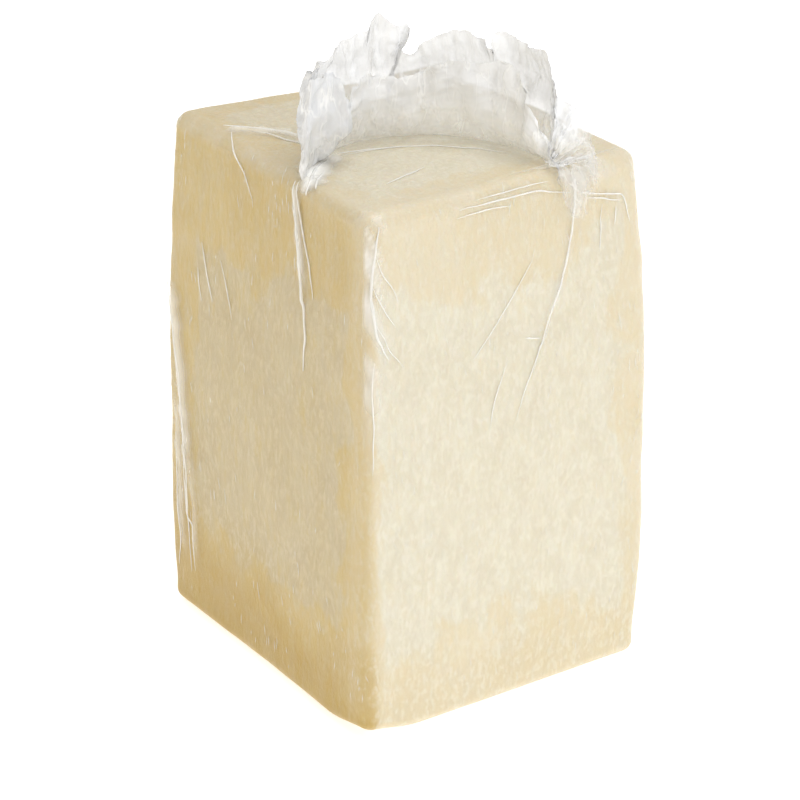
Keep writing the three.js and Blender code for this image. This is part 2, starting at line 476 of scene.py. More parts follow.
# Each row: share of the seal, then millimetres right, back and up from the seal to the mouth.
BACK_MOUTH = np.array([
    (0.00, 6, 0, 48), (0.10, 9, 4, 43), (0.20, 8, 8, 42), (0.24, 9, 9, 48), (0.31, 10, 9, 50),
    (0.355, 10, 9, 51), (0.37, 11, 9, 60), (0.385, 18, 8, 52), (0.40, 25, 8, 50), (0.41, 20, 8, 44),
    (0.43, 9, 7, 44), (0.46, 7, 6, 40), (0.49, 6, 6, 38), (0.54, 3, 8, 45), (0.58, 4, 9, 48),
    (0.63, 3, 9, 50), (0.68, 3, 9, 50), (0.71, 3, 8, 47), (0.735, 2, 3, 43), (0.75, 1, 8, 49),
    (0.76, 3, 9, 52), (0.785, 3, 9, 53), (0.82, 5, 9, 51), (0.85, 6, 8, 49), (0.89, 6, 7, 50),
    (0.92, 5, 5, 51), (0.94, 5, 4, 47), (0.95, 5, 3, 40), (0.96, 6, 3, 32), (0.97, 13, 3, 28),
    (0.98, 21, 4, 23), (0.985, 26, 4, 19), (0.99, 29, 3, 13), (0.993, 28, 1, 6), (0.997, 27, -5, -4),
    (1.00, 24, -8, -14), (1.00, 17, -8, -24)])
FRONT_MOUTH = np.array([
    (0.00, 6, 0, 48), (0.05, 13, -3, 49), (0.07, 16, -7, 40), (0.09, 16, -10, 27), (0.11, 13, -10, 18),
    (0.14, 11, -8, 20), (0.18, 9, -5, 31), (0.25, 8, -4, 37), (0.33, 8, -3, 36), (0.40, 5, -3, 32),
    (0.47, 2, -4, 34), (0.55, 0, -4, 40), (0.62, -1, -4, 43), (0.70, -1, -3, 42), (0.77, 1, -3, 45),
    (0.83, -1, -3, 42), (0.89, -4, -4, 34), (0.94, -4, -5, 22), (0.97, -2, -6, 8), (0.99, -1, -8, -8),
    (1.00, 2, -8, -20), (1.00, 9, -8, -26), (1.00, 17, -8, -24)])


def bezier(posts, share):
    """A point on the curve of four posts, at each share of the way."""
    t = np.asarray(share)[..., None]
    weights = [(1 - t) ** 3, 3 * t * (1 - t) ** 2, 3 * t * t * (1 - t), t**3]
    return sum(weight * post for weight, post in zip(weights, posts))


def spread_along(mouth, shares):
    """Where evenly spread stations come on one layer's mouth: place on the seal, and the offset."""
    seal = bezier(SEAL_POSTS, mouth[:, 0])
    steps = np.diff(np.hstack([seal + mouth[:, 1:3] * mm, mouth[:, 3:] * mm]), axis=0)
    length = np.concatenate([[0], np.cumsum(np.linalg.norm(steps, axis=1))])
    at = np.asarray(shares) * length[-1]
    return np.stack([np.interp(at, length, column) for column in mouth.T], axis=-1)


def mouth_of_stations():
    """For each station: its place on the seal, its offset to the mouth, and -1 front or 1 back."""
    rim = station_place + station_out * EDGE_RADIUS
    ends = [SEAL_POSTS[0] - (SEAL_ENDS_IN, 0), SEAL_POSTS[3] - (0, SEAL_ENDS_IN)]
    left_end, right_end = (int(np.argmin(np.linalg.norm(rim - end, axis=1))) for end in ends)
    front_steps = (right_end - left_end) % station_count
    step = (np.arange(station_count) - left_end) % station_count
    front = step <= front_steps
    back_share = np.clip(1 - (step - front_steps) / (station_count - front_steps), 0, 1)
    rows = np.where(front[:, None], spread_along(FRONT_MOUTH, np.clip(step / front_steps, 0, 1)),
                    spread_along(BACK_MOUTH, back_share))
    for _ in range(2):
        rows = 0.5 * rows + 0.25 * (np.roll(rows, 1, axis=0) + np.roll(rows, -1, axis=0))
    return rows[:, 0], rows[:, 1:] * mm, np.where(front, -1, 1)


on_seal, to_mouth, layer = mouth_of_stations()
print((layer < 0).sum(), "stations in the front layer,", (layer > 0).sum(), "in the back one")

# %% [markdown]
# ## The neck before it crumples
#
# Between the seal and the mouth each layer swells a little, so that there is air between them,
# and gathers into upright folds. Where the neck lies down, it is kept clear of the block.

# %% Arrange the neck
NECK_ROWS = 34
NECK_FOOT = 1.5 * mm
LAYER_SWELL = np.array([5.5, 8.0]) * mm  # the front layer and the back one
LAID_LIFT = 4 * mm
SEAL_NUDGE = 0.01  # share of the seal either side, from which its direction is taken


def keep_off(points, clearance):
    """Pushes points that are too near the plain block straight out from it."""
    core = plain_half - EDGE_RADIUS
    nearest = np.clip(points, -core, core)
    away = points - nearest
    distance = np.maximum(np.linalg.norm(away, axis=-1, keepdims=True), 1e-6)
    return nearest + away * np.maximum(distance, EDGE_RADIUS + clearance) / distance


def neck_row(up):
    """One ring of the neck on the plain block, up being 0 at its foot and 1 at its mouth."""
    base = bezier(SEAL_POSTS, on_seal)
    further = bezier(SEAL_POSTS, np.clip(on_seal + SEAL_NUDGE, 0, 1))
    ahead = further - bezier(SEAL_POSTS, np.clip(on_seal - SEAL_NUDGE, 0, 1))
    across = np.stack([-ahead[:, 1], ahead[:, 0]], axis=-1) / np.linalg.norm(ahead, axis=1, keepdims=True)
    middle = smooth(on_seal, 0.0, 0.12) * smooth(on_seal, 1.0, 0.9)
    laid = smooth(to_mouth[:, 2], 24 * mm, 2 * mm)
    sideways = up**1.25 * (1 - laid) + (1 - (1 - up) ** 2.2) * laid
    upright = up * (1 - laid) + up**1.8 * laid
    swell = np.where(layer < 0, -LAYER_SWELL[0], LAYER_SWELL[1]) * np.sin(np.pi * up * 0.85) * middle
    plan = base + to_mouth[:, :2] * sideways[:, None] + across * swell[:, None]
    rise = NECK_FOOT + to_mouth[:, 2] * upright + LAID_LIFT * laid * math.sin(math.pi * up)
    return np.hstack([plan, (height / 2 + rise)[:, None]])


print("neck", NECK_ROWS, "rows, up to", round(float(to_mouth[:, 2].max()) * 1000), "mm high")

# %% Every ring of the bag
WELD_SHARE = 0.55  # length of the weld under the block, as a share of the block's width
TOP_RINGS = 38  # from the top edge in to the seal


def bag_rings():
    """Every ring of the bag, on the plain block, with the number of the neck's first ring."""
    flat = np.ones((station_count, 1))
    reach = EDGE_RADIUS + FILM_GAP

    def bend(core_z, start, end):
        """Rings round a level edge, from one angle to another."""
        return [np.hstack([station_place + station_out * reach * math.cos(angle),
                           flat * (core_z + reach * math.sin(angle))])
                for angle in np.linspace(start, end, BEND_STEPS + 1)]

    rings = []
    weld_x = np.clip(station_place[:, 0], -half_x * WELD_SHARE, half_x * WELD_SHARE)
    weld = np.stack([weld_x, 0 * station_place[:, 1]], axis=1)
    for share in np.linspace(0, 1, round(half_y / FILM_STEP * 0.7), endpoint=False):
        rings.append(np.hstack([weld + (station_place - weld) * share, flat * (-height / 2 - FILM_GAP)]))
    rings.extend(bend(-height / 2 + EDGE_RADIUS, -math.pi / 2, 0))
    wall = round((height - 2 * EDGE_RADIUS) / FILM_STEP)
    for z in np.linspace(-height / 2 + EDGE_RADIUS, height / 2 - EDGE_RADIUS, wall + 1)[1:-1]:
        rings.append(np.hstack([station_place + station_out * reach, flat * z]))
    rings.extend(bend(height / 2 - EDGE_RADIUS, 0, math.pi / 2))
    foot = neck_row(0)
    for share in np.linspace(0, 1, TOP_RINGS, endpoint=False)[1:]:
        ring = station_place * (1 - share) + foot[:, :2] * share
        rise = FILM_GAP + (NECK_FOOT - FILM_GAP) * share**6
        rings.append(np.hstack([ring, flat * (height / 2 + rise)]))
    first_neck_ring = len(rings)
    rings.extend(neck_row(up) for up in np.linspace(0, 1, NECK_ROWS))
    return np.array(rings), first_neck_ring


rings, neck_ring = bag_rings()
rings[neck_ring:] = keep_off(rings[neck_ring:], 0.8 * mm)
plain_rings = rings.copy()
rings = slump(rings)
print(len(rings), "rings; the neck starts at ring", neck_ring)
mouth_steps = rings[-1] - np.roll(rings[-1], 1, axis=0)
print("mouth", round(float(np.linalg.norm(mouth_steps, axis=1).sum()), 3), "m round")

# %% Gather the neck into upright folds
around = np.arange(station_count) * FILM_STEP
neck_up = np.linspace(0, 1, NECK_ROWS)[:, None]


def ring_normals(points):
    """The direction out at each point of the grid."""
    across = np.roll(points, -1, axis=1) - np.roll(points, 1, axis=1)
    upward = np.gradient(points, axis=0)
    normal = np.cross(across, upward)
    return normal / np.maximum(np.linalg.norm(normal, axis=-1, keepdims=True), 1e-12)


def gathers():
    """How far the neck's folds stand out at each of its points."""
    drift = 8 * mm * noise(np.stack([around, 0 * around, 0 * around], axis=-1), 30 * mm, 70)
    place = np.stack(np.broadcast_arrays(around + drift, neck_up * 45 * mm, 0.0), axis=-1)
    upright = noise(place * (1, 0.35, 1), 12 * mm, 71) - 0.5
    crossing = creased(place + 6 * mm * noise(place, 20 * mm, 74)[..., None], 15 * mm, 73) - 0.5
    fine = noise(place * (1, 0.6, 1), 5 * mm, 72) - 0.5
    broad = (7 * upright + 5 * crossing) * mm * neck_up**0.6 * (1 - 0.55 * neck_up)
    return broad + 3.4 * mm * fine * smooth(neck_up, 0, 0.2) * (1 - 0.6 * neck_up)


rings[neck_ring:] += ring_normals(rings[neck_ring:]) * gathers()[..., None]

# %% [markdown]
# ## Crumple the neck by simulation
#
# The neck alone goes through a cloth simulation. Its foot is pinned, the rest is held loosely
# to its arranged place, and the film is told that it is a little larger than it is drawn. It
# has nowhere to go but sideways, so it buckles into the small folds of real crumpled film.
#
# One trap: Cloth does nothing at all, and gives no warning, if any edge has no length. At the
# right end of the seal several stations share one place, so every point is first moved by up to
# a tenth of a millimetre, and only the movement that comes out is used. The line that is
# printed says how far the film moved, and 0 there means that the simulation failed.

# %% Cloth simulation of the neck
CRUMPLE_FRAMES = 18
FILM_GROWTH = 0.10
HAIR = 0.2 * mm  # points are nudged by up to half of this before the simulation
FOOT_ROWS = 2  # rows of the neck's foot that are pinned
HOLD_AT_FOOT, HOLD_LOST = 0.35, 0.15  # how firmly the rest is held, and how much less at the mouth
STATION_PACE, ROW_PACE, AXIS_PACE = 1.37, 2.11, 7.0  # steps that seldom meet the noise's lattice


def grid_faces(ring_total):
    """Four-sided faces of a tube of rings, pointing out."""
    index = np.arange(ring_total * station_count).reshape(ring_total, station_count)
    right = np.roll(index, -1, axis=1)
    return np.stack([index[:-1], right[:-1], right[1:], index[1:]], axis=-1).reshape(-1, 4)


def part_neighbours(neck):
    """Moves each point a hair, because Cloth stands still if two neighbours are in one place."""
    station = np.arange(station_count)[None, :] * STATION_PACE
    row = np.arange(len(neck))[:, None] * ROW_PACE
    places = [np.stack(np.broadcast_arrays(station, row, AXIS_PACE * axis), axis=-1) for axis in range(3)]
    hairs = [noise(place, 1.0, 5 + axis) for axis, place in enumerate(places)]
    return neck + HAIR * (np.stack(hairs, axis=-1) - 0.5)


def crumple(neck):
    """Runs Cloth on the neck's rings and gives how far it moves each point."""
    start = part_neighbours(neck)
    piece = make_piece("neck_trial", start.reshape(-1, 3), grid_faces(len(neck)))
    hold = piece.vertex_groups.new(name="hold")
    for row in range(len(neck)):
        weight = 1.0 if row < FOOT_ROWS else HOLD_AT_FOOT - HOLD_LOST * row / len(neck)
        hold.add(list(range(row * station_count, (row + 1) * station_count)), weight, "REPLACE")
    cloth = piece.modifiers.new("film", "CLOTH")
    cloth.point_cache.frame_start, cloth.point_cache.frame_end = 1, CRUMPLE_FRAMES
    film = cloth.settings
    film.quality, film.mass, film.air_damping = 5, 0.05, 2.0
    film.tension_stiffness, film.compression_stiffness, film.shear_stiffness = 25, 25, 12
    film.bending_stiffness = 0.02
    film.shrink_min, film.shrink_max = -FILM_GROWTH, -FILM_GROWTH
    film.vertex_group_mass = "hold"
    film.pin_stiffness = 0.6
    film.effector_weights.gravity = 0.05
    cloth.collision_settings.use_collision = False
    cloth.collision_settings.use_self_collision = False
    for number in range(1, CRUMPLE_FRAMES + 1):
        scene.frame_set(number)
    done = piece.evaluated_get(bpy.context.evaluated_depsgraph_get())
    places = np.zeros(len(neck) * station_count * 3, np.float32)
    done.data.vertices.foreach_get("co", places)
    bpy.data.objects.remove(piece)
    scene.frame_set(1)
    return places.reshape(neck.shape) - start


arranged = rings[neck_ring - FOOT_ROWS:].copy()
moved = crumple(arranged)
farthest = np.linalg.norm(moved, axis=-1).max()
print("simulation moved the film by up to", round(float(farthest) * 1000, 2), "mm")
softened = arranged + moved
for _ in range(2):
    sides = np.roll(softened, 1, axis=1) + np.roll(softened, -1, axis=1)
    softened[1:-1] = 0.5 * softened[1:-1] + 0.125 * (sides[1:-1] + softened[:-2] + softened[2:])
softened[:FOOT_ROWS] = arranged[:FOOT_ROWS]
clear = keep_off(unslump(softened), 1.2 * mm) - unslump(softened)
clear[:FOOT_ROWS + 1] = 0
rings[neck_ring - FOOT_ROWS:] = softened + clear

# %% [markdown]
# ## Folds that are listed one by one
#
# Where the bag had more film than it needed, shrinking left folds. They are listed one by one: the
# bunched knot at the left end of the seal, the raised fold behind it, the ear of spare film down
# the back of the left face, and the creases that fan out from both ends of the seal. Each fold
# is a line of points in millimetres, x, y and up from the floor, with how wide and how high it
# is and how milky the film is there.

# %% Broad folds
FOLDS = [
    (11, 2.0, 0.95, [(-82, -37, 277), (-77, -33, 281), (-67, -24, 283), (-57, -17, 284), (-44, -11, 285)]),
    (6, 2.6, 0.50, [(-75, 50, 281), (-64, 36, 282), (-52, 18, 283), (-44, 2, 284)]),
    (5, 1.6, 0.55, [(-80, -25, 280), (-81, -29, 266), (-82, -34, 247), (-84, -38, 223)]),
    (7, 3.0, 0.50, [(-84, 86, 195), (-86, 80, 165), (-86, 75, 125), (-86, 71, 95), (-86, 69, 62)]),
    (5, 1.8, 0.40, [(-86, 84, 130), (-86, 80, 95), (-86, 79, 60), (-86, 77, 26)]),
    (4, 1.6, 0.35, [(-86, 71, 100), (-86, 66, 70), (-86, 66, 28)]),
    (9, 1.2, 0.45, [(38, -86, 281), (42, -92, 274), (40, -93, 262), (37, -94, 248)]),
    (14, 0.6, 0.30, [(46, -80, 283), (54, -88, 280), (56, -92, 268)]),
    (4, 1.2, 0.35, [(38, -92, 262), (36, -93, 248), (29, -94, 221), (18, -94, 196)]),
]


def to_line(points, line):
    """How far each point is from a line of points, and how far along the line that is, 0 to 1."""
    line = unslump(np.array(line) * mm)
    nearest, along = np.full(points.shape[:-1], np.inf), np.zeros(points.shape[:-1])
    for number, (start, end) in enumerate(zip(line[:-1], line[1:])):
        run = end - start
        share = np.clip((points - start) @ run / (run @ run), 0, 1)
        distance = np.linalg.norm(points - start - share[..., None] * run, axis=-1)
        closer = distance < nearest
        nearest = np.where(closer, distance, nearest)
        along = np.where(closer, (number + share) / (len(line) - 1), along)
    return nearest, along


fold_height, fold_haze = np.zeros(rings.shape[:2]), np.zeros(rings.shape[:2])
for width, rise, milk, line in FOLDS:
    distance, along = to_line(plain_rings, line)
    wander = 1 + 1.1 * (noise(plain_rings, 7 * mm, 90) - 0.5)
    ridge = smooth(distance * wander, width * mm, 0) * smooth(along, 0, 0.15) * smooth(along, 1, 0.7)
    fold_height += rise * mm * ridge
    fold_haze = np.maximum(fold_haze, milk * ridge)
print(len(FOLDS), "folds, up to", round(float(fold_height.max()) * 1000, 1), "mm high")

# %% [markdown]
# ## Relief and milkiness of the film
#
# Where the film is on the block it isn't quite smooth: it bridges hollows and is drawn into
# fine pleats up and down. Relief is added along the surface's own direction out, always
# outwards on the block, so that no cheese comes through. Film turns white where it is bent
# sharply, so part of the neck's milkiness is measured from how much the direction out changes.
# The rest grows with height, with the gathers near the foot and towards both ends of the seal.

# %% Relief of the film
climb = np.concatenate([[0], np.cumsum(np.linalg.norm(np.diff(rings, axis=0), axis=2).mean(axis=1))])
flat_place = np.stack(np.broadcast_arrays(around[None, :], climb[:, None], 0.0), axis=-1)
neck_share = smooth(np.arange(len(rings)), neck_ring - 2, neck_ring + 4)[:, None]
pleats = creased(flat_place * (1, 0.3, 1), 7 * mm, 31) ** 3
dimples = creased(flat_place, 11 * mm, 33) ** 2
relief = ((0.16 * pleats + 0.16 * dimples) * mm + fold_height) * (1 - neck_share)
bends = 5 * mm * noise(flat_place, 12 * mm, 44)[..., None]
wrinkles = creased(flat_place + bends, 10 * mm, 45) ** 1.5
crinkles = creased(flat_place - bends, 4.5 * mm, 47)
relief += ((1.5 * (wrinkles - 0.4) + 0.7 * (crinkles - 0.5)) * mm + 0.5 * fold_height) * neck_share
rings = rings + ring_normals(rings) * relief[..., None]
rings[0] = rings[1]
rings[..., 2] = np.maximum(rings[..., 2], bag_low.z)
print("relief from", *(round(float(x) * 1000, 1) for x in (relief.min(), relief.max())), "mm")

# %% Milkiness of the film
out = ring_normals(rings)
turn = (out * np.roll(out, 1, axis=1)).sum(axis=2)
turn[1:] = np.minimum(turn[1:], (out[1:] * out[:-1]).sum(axis=2))
bent = smooth(1 - turn, 0.02, 0.45)
bent = 0.6 * bent + 0.2 * (np.roll(bent, 1, axis=1) + np.roll(bent, -1, axis=1))
on_top = smooth(plain_rings[..., 2], height / 2 - 3 * mm, height / 2) * (1 - neck_share)
up_neck = np.zeros_like(bent)
up_neck[neck_ring:] = neck_up
gathered = creased(flat_place * (1, 0.25, 1) + bends, 5 * mm, 46) ** 3 * smooth(up_neck, 0.7, 0.05)
ends = smooth(np.abs(on_seal - 0.5), 0.25, 0.5)
to_edge = np.sort(plain_half - np.abs(plain_rings), axis=-1)[..., 1]
# near the edges the film is milkier: partly its real whitening where it bends round them, partly a painted
# highlight along the edges
edge_milk_and_highlight = smooth(to_edge, 9 * mm, 2 * mm) * smooth(plain_rings[..., 2], -0.1 * height, 0.4 * height)
lofted = smooth(up_neck, 0.22, 0.62)
# the leaf at the left end of the neck, which gets painted shade
left_leaf = smooth(on_seal, 0.22, 0.08)
at_front = (plain_rings[..., 1] < -half_y + 2 * mm) * smooth(plain_rings[..., 2], 0, 0.3 * height)
front_edge = at_front * smooth(plain_rings[..., 0], -half_x + 18 * mm, -half_x + 3 * mm)
slant = (plain_rings[..., 0] + 0.5 * plain_rings[..., 2])[..., None] * (1, 0, 0)
edge_fan = front_edge * creased(slant + plain_rings * (0, 0, 0.12), 5 * mm, 49) ** 2
haze = neck_share * (0.2 * bent + 0.45 * lofted + 0.35 * gathered + 0.15 * ends)
# patchy milkiness and painted highlight near the edges
patchy_milk_and_highlight = edge_milk_and_highlight * noise(flat_place, 16 * mm, 48)
haze += (1 - neck_share) * (0.05 * pleats + 0.05 * on_top + 0.5 * edge_fan + 0.17 * patchy_milk_and_highlight)
haze = np.maximum(haze, fold_haze)
laid_down = smooth(to_mouth[:, 2], 24 * mm, 2 * mm) * smooth(on_seal, 0.8, 0.95)
haze -= laid_down * smooth(up_neck, 0, 0.3) * (0.5 - 0.35 * gathered)
haze -= laid_down * smooth(up_neck, 0.5, 1) * 0.3
print("milkiness", round(float(haze[:neck_ring].mean()), 2), "on the block and",
      round(float(haze[neck_ring:].mean()), 2), "in the neck")


# %% The finished sheet
def flat_map(piece, upward):
    """Stores the place in the flat bag as a UV map, which runs on past the last station."""
    layer_uv = piece.data.uv_layers.new(name="flat_bag")
    station = np.arange(station_count)
    corners = np.stack([station, station + 1, station + 1, station], axis=1) / station_count
    rows = len(upward) - 1
    u = np.broadcast_to(corners, (rows, station_count, 4))
    v = np.stack([upward[:-1], upward[:-1], upward[1:], upward[1:]], axis=1)[:, None, :] / upward[-1]
    both = np.stack([u, np.broadcast_to(v, u.shape)], axis=-1)
    layer_uv.data.foreach_set("uv", both.reshape(-1).astype(np.float32))


bag = make_piece("film_bag_sheet", rings.reshape(-1, 3), grid_faces(len(rings)))
flat_map(bag, climb)
paint(bag, "haze", haze.reshape(-1))
paint(bag, "neck", np.broadcast_to(neck_share, haze.shape).reshape(-1))
# painted shade for the neck: greyer high up and in the leaf at its left end
paint(bag, "painted_neck_shade", np.clip(0.5 * lofted + 0.6 * left_leaf, 0, 1).reshape(-1))
print("film", len(bag.data.polygons) * 2, "triangles")

# %% [markdown]
# ## Clear film
#
# Film is nearly nothing to look at: what shows is a faint milky haze, gloss, and white lines,
# partly painted glints, where it has been creased. So its opacity is low, and rises along the
# creases and in the neck, where it has gone frosty. The neck is a cool near-white, with painted
# shade making it greyer high up and in the leaf at its left end.

# %% The film material
# white crease lines in the film: partly its whitening where creased, partly painted glints
CREASE_AND_GLINT_LINES = ((75, 0.90, 0.45), (190, 0.86, 0.8))  # each set's scale, fineness and strength
ON_BLOCK_TONE = (1, 1, 0.98, 1)
NECK_TONE = (0.90, 0.905, 0.91, 1)
# painted shade: the greyer tone of the neck high up and at its left end
NECK_SHADE_TONE = (0.73, 0.75, 0.79, 1)
CREASE_AND_GLINT_TONE = (0.93, 0.935, 0.94, 1)


def film_material(name, shown, frost):
    """Film that hides as much as shown says on the block, and frost more in the neck."""
    recipe = Recipe(name)
    place = recipe.add("ShaderNodeTexCoord", out=3)
    mist = recipe.noise(place, 40, 3.0, 0.5)
    fine = recipe.noise(place, 300, 3.0, 0.6)
    upright = recipe.add("ShaderNodeMapping", {"Vector": place, "Scale": (1.0, 1.0, 0.32)})
    lines = []
    for scale, fineness, strength in CREASE_AND_GLINT_LINES:
        wave = recipe.math("MULTIPLY_ADD", recipe.noise(upright, scale, 1.5, 0.5), 2.0, -1.0)
        line = recipe.between(recipe.math("ABSOLUTE", wave), 1 - fineness, 0.0)
        lines.append(recipe.math("MULTIPLY", line, strength))
    broken = recipe.between(recipe.noise(place, 60, 1.0), 0.4, 0.6, 0.3, 1.0)
    # crease lines, partly the film's whitening, partly painted glints
    creases_and_glints = recipe.math("MULTIPLY", recipe.math("MAXIMUM", *lines), broken)
    on_block = recipe.math("MULTIPLY_ADD", mist, 0.08, shown)
    standing = recipe.math("MULTIPLY_ADD", mist, 0.2, frost)
    standing = recipe.math("MULTIPLY_ADD", creases_and_glints, 0.25, standing)
    base = recipe.add("ShaderNodeMix", {0: recipe.attribute("neck"), 2: on_block, 3: standing})
    opacity = recipe.math("ADD", base, recipe.attribute("haze"), clamp=True)
    # painted shade greys the neck high up and in the leaf at its left end
    neck_tone_shaded = recipe.mix(recipe.attribute("painted_neck_shade"), NECK_TONE, NECK_SHADE_TONE)
    tone = recipe.mix(recipe.attribute("neck"), ON_BLOCK_TONE, neck_tone_shaded)
    # crease lines are whiter: partly real whitening, partly painted glints
    tone = recipe.mix(creases_and_glints, tone, CREASE_AND_GLINT_TONE)
    recipe.set(base_color=tone, roughness=0.2, ior=1.5, alpha=opacity)
    rough = recipe.math("MULTIPLY_ADD", creases_and_glints, 1.5, fine)
    bump = recipe.add("ShaderNodeBump", {"Strength": 0.4, "Distance": 0.4 * mm, "Height": rough})
    recipe.set(normal=bump)
    return recipe.material


bag.data.materials.append(film_material("clear_film", 0.02, 0.15))

# %% [markdown]
# ## Strands and pleats by Geometry Nodes
#
# The sharpest creases in the film are thin, bright ridges. Long ones follow a path, so they are
# a round section swept along a given line that hugs the block, thin at both ends. Short
# ones are everywhere and alike, so they are one small spindle scattered over the walls, each
# lying in the film along the direction that the film was drawn in. Both are node trees, which
# make thousands of faces from a few numbers.

# %% Node tree helper
class Tree:
    """A Geometry Nodes tree with one geometry in and one out, and named number inputs."""

    def __init__(self, name, **numbers):
        self.group = bpy.data.node_groups.new(name, "GeometryNodeTree")
        face = self.group.interface
        face.new_socket("Geometry", in_out="INPUT", socket_type="NodeSocketGeometry")
        self.identifiers = {}
        for key, value in numbers.items():
            kind = "NodeSocketInt" if isinstance(value, int) else "NodeSocketFloat"
            self.identifiers[key] = face.new_socket(key, in_out="INPUT", socket_type=kind).identifier
        self.numbers = numbers
        face.new_socket("Geometry", in_out="OUTPUT", socket_type="NodeSocketGeometry")
        self.inputs = self.group.nodes.new("NodeGroupInput").outputs

    def add(self, kind, inputs=None, out=0, **settings):
        node = self.group.nodes.new(kind)
        for key, value in settings.items():
            setattr(node, key, value)
        for key, value in (inputs or {}).items():
            if isinstance(value, bpy.types.NodeSocket):
                self.group.links.new(value, node.inputs[key])
            else:
                node.inputs[key].default_value = value
        return node.outputs[out]

    def attribute(self, name, data_type="FLOAT"):
        return self.add("GeometryNodeInputNamedAttribute", {"Name": name}, data_type=data_type)

    def finish(self, geometry, material):
        real = self.add("GeometryNodeRealizeInstances", {"Geometry": geometry})
        soft = self.add("GeometryNodeSetShadeSmooth", {"Geometry": real})
        made = self.add("GeometryNodeSetMaterial", {"Geometry": soft, "Material": material})
        self.group.links.new(made, self.group.nodes.new("NodeGroupOutput").inputs[0])

    def grow(self, host, name):
        """Runs the tree on a host object and gives the result as a plain mesh object."""
        modifier = host.modifiers.new("grow", "NODES")
        modifier.node_group = self.group
        for key, value in self.numbers.items():
            modifier[self.identifiers[key]] = value
        done = host.evaluated_get(bpy.context.evaluated_depsgraph_get())
        mesh = bpy.data.meshes.new_from_object(done)
        host.modifiers.remove(modifier)
        piece = bpy.data.objects.new(name, mesh)
        scene.collection.objects.link(piece)
        print(name, len(mesh.polygons), "faces")
        return piece


# %% Long strands
STRANDS = [
    (0.85, [(-80, -24, 280), (-81, -28, 268), (-82, -34, 247), (-84, -38, 223), (-85, -41, 204),
            (-86, -40, 186)]),
    (0.5, [(-80, -27, 280), (-82, -33, 262), (-83, -42, 240), (-84, -46, 226)]),
    (0.4, [(-71, 46, 283), (-79, 36, 281), (-81, 30, 275), (-81, 20, 269), (-82, 12, 258)]),
    (0.6, [(-74, 50, 283), (-62, 36, 284), (-50, 20, 284), (-43, 6, 285)]),
    (0.5, [(-66, 34, 284), (-58, 22, 284), (-52, 8, 284), (-50, -4, 285)]),
    (0.5, [(-85, 88, 196), (-86, 82, 168), (-86, 78, 150), (-86, 74, 125), (-86, 72, 96)]),
    (0.45, [(-86, 74, 120), (-86, 69, 92), (-86, 67, 60), (-86, 66, 30)]),
    (0.4, [(-86, 77, 112), (-86, 76, 80), (-86, 73, 50), (-86, 72, 26)]),
    (0.4, [(-86, 82, 104), (-86, 84, 70), (-86, 82, 44), (-86, 85, 24)]),
    (0.4, [(-85, 57, 220), (-85, 51, 203), (-85, 46, 191)]),
    (0.3, [(-85, 39, 216), (-85, 32, 200), (-85, 27, 188)]),
    (0.3, [(-85, 60, 205), (-85, 57, 188)]),
    (0.55, [(40, -90, 276), (39, -92, 262), (37, -93, 248), (29, -94, 221), (19, -94, 198), (14, -94, 182)]),
    (0.3, [(14, -94, 240), (1, -94, 222), (-11, -94, 208), (-22, -94, 196)]),
    (0.3, [(-2, -94, 190), (-10, -94, 172), (-13, -94, 158)]),
    (0.3, [(24, -94, 206), (8, -94, 172), (2, -94, 155)]),
    (0.45, [(-28, -90, 273), (-4, -91, 274), (18, -91, 273), (37, -92, 268)]),
    (0.35, [(-18, -89, 277), (4, -90, 278), (24, -91, 277)]),
    (0.35, [(-30, -90, 269), (-12, -91, 270), (2, -91, 269)]),
    (0.45, [(43, -92, 267), (56, -92, 264), (70, -92, 261), (73, -92, 254), (74, -92, 245)]),
    (0.4, [(47, -92, 263), (58, -92, 261), (69, -92, 258)]),
    (0.3, [(57, -92, 258), (56, -92, 246), (55, -92, 234)]),
    (0.3, [(66, -92, 256), (65, -92, 246)]),
    (0.8, [(-74, -89, 275), (-78, -90, 256), (-80, -91, 240), (-77, -92, 220), (-71, -93, 208)]),
    (0.4, [(-79, -93, 208), (-81, -94, 190), (-80, -94, 172), (-81, -94, 150)]),
    (0.3, [(-78, -93, 262), (-70, -93, 248), (-64, -93, 236)]),
    (0.3, [(-79, -93, 246), (-72, -93, 232), (-66, -93, 222)]),
    (0.3, [(-78, -93, 228), (-70, -93, 212), (-63, -93, 202)]),
    (0.4, [(-50, -59, 284), (-38, -56, 284), (-24, -53, 284)]),
    (0.35, [(-46, -17, 285), (-26, -21, 285), (-6, -31, 285), (12, -46, 285), (22, -60, 284)]),
    (0.3, [(-50, -14, 285), (-36, -17, 285), (-20, -24, 285)]),
    (0.4, [(8, -94, 199), (18, -94, 198)]),
    (0.9, [(-82, -38, 276), (-77, -35, 281), (-69, -26, 284), (-62, -20, 284), (-54, -16, 284)]),
    (0.8, [(-80, -35, 279), (-74, -31, 283), (-66, -24, 284), (-54, -17, 285)]),
    (0.7, [(-79, -41, 281), (-73, -35, 284), (-65, -29, 284)]),
]
STRAND_STEP = 1.5 * mm


